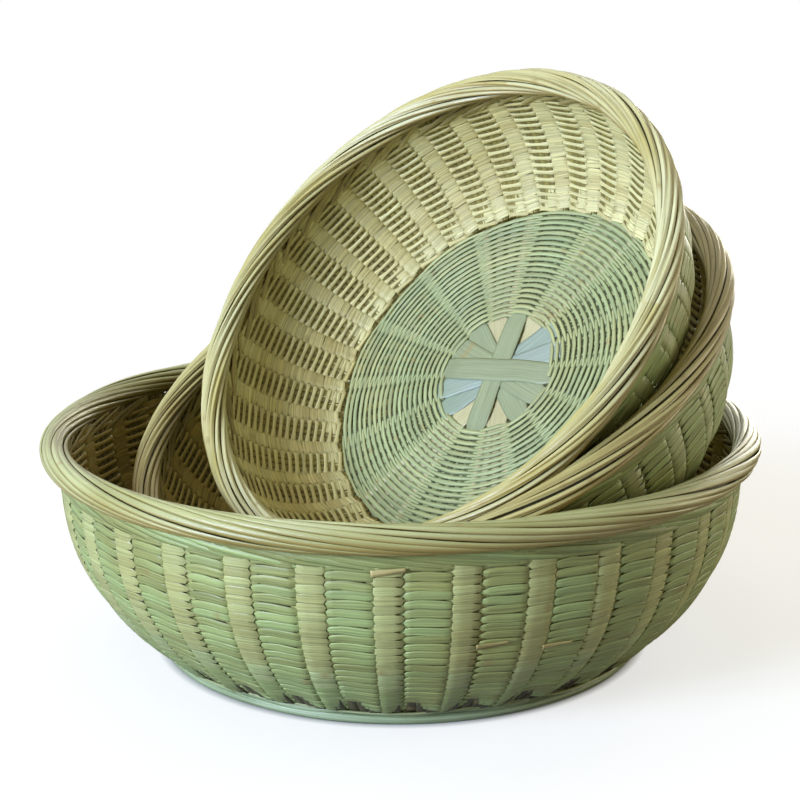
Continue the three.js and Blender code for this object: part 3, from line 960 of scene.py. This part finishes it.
class BASKETS_OT_lay_feet(bpy.types.Operator):
    """Lay the foot hoop of each basket and the lash that waves over it"""

    bl_idname = "baskets.lay_feet"
    bl_label = "Lay Feet"

    def execute(self, context):
        look = looks(context)
        azimuth = np.radians(np.arange(0, 360, 1.5))
        for basket in map(Basket, BASKETS):
            for part, (middle, half_height, wave, width, spare) in HOOPS.items():
                half_width = basket.foot_width / 2 + spare
                half_splint = HOOP_SPLINT / 2
                made = []
                for number in range(FOOT_SPLINTS):
                    dice = basket.dice(part, number)
                    turn = 2 * math.pi / FOOT_SPLINTS * number - azimuth
                    turn = turn + 0.08 * np.sin(azimuth * 3 + number)
                    radius = basket.foot_radius - HOOP_INSET
                    radius = radius + (half_width - half_splint) * np.cos(turn)
                    rise = (half_height - half_splint) * np.sin(turn)
                    rise = rise - wave * np.cos(azimuth * ENDS)
                    point = ring(radius, azimuth, middle + rise)
                    face = ring(np.cos(turn), azimuth, np.sin(turn))
                    uneven = 1 + 0.1 * dice.normal()
                    made.append(ribbon(point, face, width * uneven, HOOP_SPLINT, number=number,
                                       loop=True))
                piece(basket, part + "_splints", made, [look["foot splint"]], "foot_splint",
                      [part])
        return {"FINISHED"}


class BASKETS_OT_tuck_ends(bpy.types.Operator):
    """Tuck the ends of the stakes in at a slant under each rim, outside and inside"""

    bl_idname = "baskets.tuck_ends"
    bl_label = "Tuck Ends"

    def execute(self, context):
        sizes, look = in_mm(context), looks(context)
        way = np.linspace(0, 1, 14)
        for basket in map(Basket, BASKETS):
            outline = Outline(basket, sizes)
            dice = basket.dice("ends")
            made, kinds = [], []
            for side, rise, reach, slim in END_ROWS:
                for number in range(STAKES):
                    start = COLUMN_PHASE + number * 360 / STAKES + dice.normal(0, 0.6)
                    climb = outline.length - rise + rise * way ** 0.8 + dice.normal(0, 0.3)
                    angle = start - (reach + dice.normal(0, 2)) * way
                    # It comes out from among the weavers, slim at first, and lies over them.
                    offset = side * (0.35 + 0.95 * ramp(way, 0, 0.35) + dice.normal(0, 0.08))
                    point, face = outline.at(climb, angle, offset)
                    width = sizes.end_width * slim + dice.normal(0, 0.3)
                    width = width * (0.35 + 0.65 * ramp(way, 0, 0.25))
                    made.append(ribbon(point, face * side, width, 0.5, number=number))
                    kinds.append(0 if side > 0 else 1)
            if basket.name == "large":
                for azimuth, climb_share, slope in LOOSE_ENDS:
                    climb = outline.length * climb_share + slope * way
                    point, face = outline.at(climb, azimuth + 5 * way, 1.3 + 0.5 * way)
                    made.append(ribbon(point, face, 3.2 - 1.6 * way, 0.6, number=90))
                    kinds.append(1)
            materials = [look["green weaver"], look["dry end"]]
            piece(basket, "stake_ends", made, materials, "green_weave", [], kinds)
        return {"FINISHED"}


class BASKETS_OT_set_stage(bpy.types.Operator):
    """Set the paper floor, the studio air, the lamps and the camera"""

    bl_idname = "baskets.set_stage"
    bl_label = "Set Stage"

    def execute(self, context):
        scene = context.scene
        scene.view_settings.view_transform = "Standard"
        self.lay_paper(scene)
        self.fill_air(scene)
        for name, place, *light in LAMPS:
            lamp = bpy.data.lights.new(name, "AREA")
            lamp.size, lamp.energy, lamp.color = light
            holder = added(name, lamp)
            holder.location = place
            aim = Vector(LAMP_AIM) - Vector(place)
            holder.rotation_euler = aim.to_track_quat("-Z", "Y").to_euler()
        self.stand_camera(scene)
        return {"FINISHED"}

    def lay_paper(self, scene):
        """White paper that keeps the shadow near the baskets and is plain white far from them."""
        mesh = bpy.data.meshes.new("floor")
        corners = [(x * PAPER_REACH, y * PAPER_REACH, 0)
                   for x, y in ((-1, -1), (1, -1), (1, 1), (-1, 1))]
        mesh.from_pydata(corners, [], [(0, 1, 2, 3)])
        floor = added("floor", mesh)
        paper = bpy.data.materials.new("paper, matt white")
        mesh.materials.append(paper)
        tree = bare_tree(paper)
        seen = node(tree, "LightPath").outputs["Is Camera Ray"]
        where = node(tree, "TexCoord").outputs["Object"]
        away = node(tree, "VectorMath", {0: where}, operation="LENGTH").outputs["Value"]

        # It glows to be seen white, but not under the foot, where it would show as bright dots
        # through the weave. Without the glow, the paper there and in a thin ring round the foot is
        # darker: painted shadow.
        bare = node(tree, "MapRange", {
            "Value": away, "From Min": GLOW_START[0], "From Max": GLOW_START[1],
            "To Max": PAPER_GLOW,
        })
        light = node(tree, "Math", {0: seen, 1: bare}, operation="MULTIPLY")
        glow = node(tree, "Emission", {"Color": WHITE, "Strength": light})
        matt = node(tree, "BsdfDiffuse", {"Color": (*scene.basket_colours.stage, 1.0)})
        near = node(tree, "AddShader", {0: glow, 1: matt})
        fade = node(tree, "MapRange", {
            "Value": away, "From Min": FADE[0], "From Max": FADE[1],
        }, interpolation_type="SMOOTHSTEP")
        far = node(tree, "Math", {0: fade, 1: seen}, operation="MULTIPLY")
        plain = node(tree, "Emission", {"Color": WHITE, "Strength": 1.0})
        whole = node(tree, "MixShader", {0: far, 1: near, 2: plain})
        node(tree, "OutputMaterial", {"Surface": whole})

    def fill_air(self, scene):
        """Soft warm light from all round, with white to be seen and mirrored."""
        scene.world = bpy.data.worlds.new("studio air")
        tree = bare_tree(scene.world)
        ray = node(tree, "LightPath").outputs
        shown = ray["Is Camera Ray"]
        for key in ("Is Glossy Ray", "Is Transmission Ray"):
            shown = node(tree, "Math", {0: shown, 1: ray[key]}, operation="MAXIMUM")
        way = node(tree, "TexCoord").outputs["Generated"]
        facing = node(tree, "VectorMath", {0: way, 1: WINDOW_SIDE}, operation="DOT_PRODUCT")
        clear = node(tree, "MapRange", {"Value": facing.outputs["Value"], "From Min": -1.0})
        air = node(tree, "Mix", {0: clear, 6: WARM_AIR, 7: CLEAR_AIR}, data_type="RGBA")
        soft = node(tree, "Background", {"Color": air.outputs[2], "Strength": 1.0})
        white = node(tree, "Background", {"Color": WHITE, "Strength": 1.0})
        whole = node(tree, "MixShader", {0: shown, 1: soft, 2: white})
        node(tree, "OutputWorld", {"Surface": whole})

    def stand_camera(self, scene):
        """A camera that looks down a little at the middle of the baskets."""
        target = Vector((0, 0, 121.45)) * MM
        tilt, roll, distance = 0.25, -0.006, 894.77 * MM
        lens = bpy.data.cameras.new("camera")
        lens.sensor_width = 36
        lens.lens = 79.456
        camera = added("camera", lens)
        place = target + distance * Vector((0, -math.cos(tilt), math.sin(tilt)))
        aim = (target - place).to_track_quat("-Z", "Y").to_matrix().to_4x4()
        camera.matrix_world = Matrix.Translation(place) @ aim @ Matrix.Rotation(roll, 4, "Z")
        scene.camera = camera


STEPS = (
    BASKETS_OT_weave_walls,
    BASKETS_OT_stand_stakes,
    BASKETS_OT_weave_bases,
    BASKETS_OT_spread_stakes,
    BASKETS_OT_cross_splints,
    BASKETS_OT_wind_rims,
    BASKETS_OT_lay_feet,
    BASKETS_OT_tuck_ends,
    BASKETS_OT_set_stage,
)


class BASKETS_PT_weaver(bpy.types.Panel):
    """The steps, in the order in which a basket is made"""

    bl_label = "Bamboo Basket Weaver"
    bl_space_type = "VIEW_3D"
    bl_region_type = "UI"
    bl_category = "Baskets"

    def draw(self, context):
        for step in STEPS:
            self.layout.operator(step.bl_idname)
        for group in (context.scene.basket_weave, context.scene.basket_colours):
            box = self.layout.box()
            for key in group.__annotations__:
                box.prop(group, key)


CLASSES = (WeaveSizes, BambooColours, *STEPS, BASKETS_PT_weaver)


def register():
    for one in CLASSES:
        bpy.utils.register_class(one)
    bpy.types.Scene.basket_weave = bpy.props.PointerProperty(type=WeaveSizes)
    bpy.types.Scene.basket_colours = bpy.props.PointerProperty(type=BambooColours)


def unregister():
    del bpy.types.Scene.basket_colours
    del bpy.types.Scene.basket_weave
    for one in reversed(CLASSES):
        bpy.utils.unregister_class(one)


def main():
    register()
    for step in STEPS:
        getattr(bpy.ops.baskets, step.bl_idname.split(".")[1])()


if __name__ == "__main__":
    main()
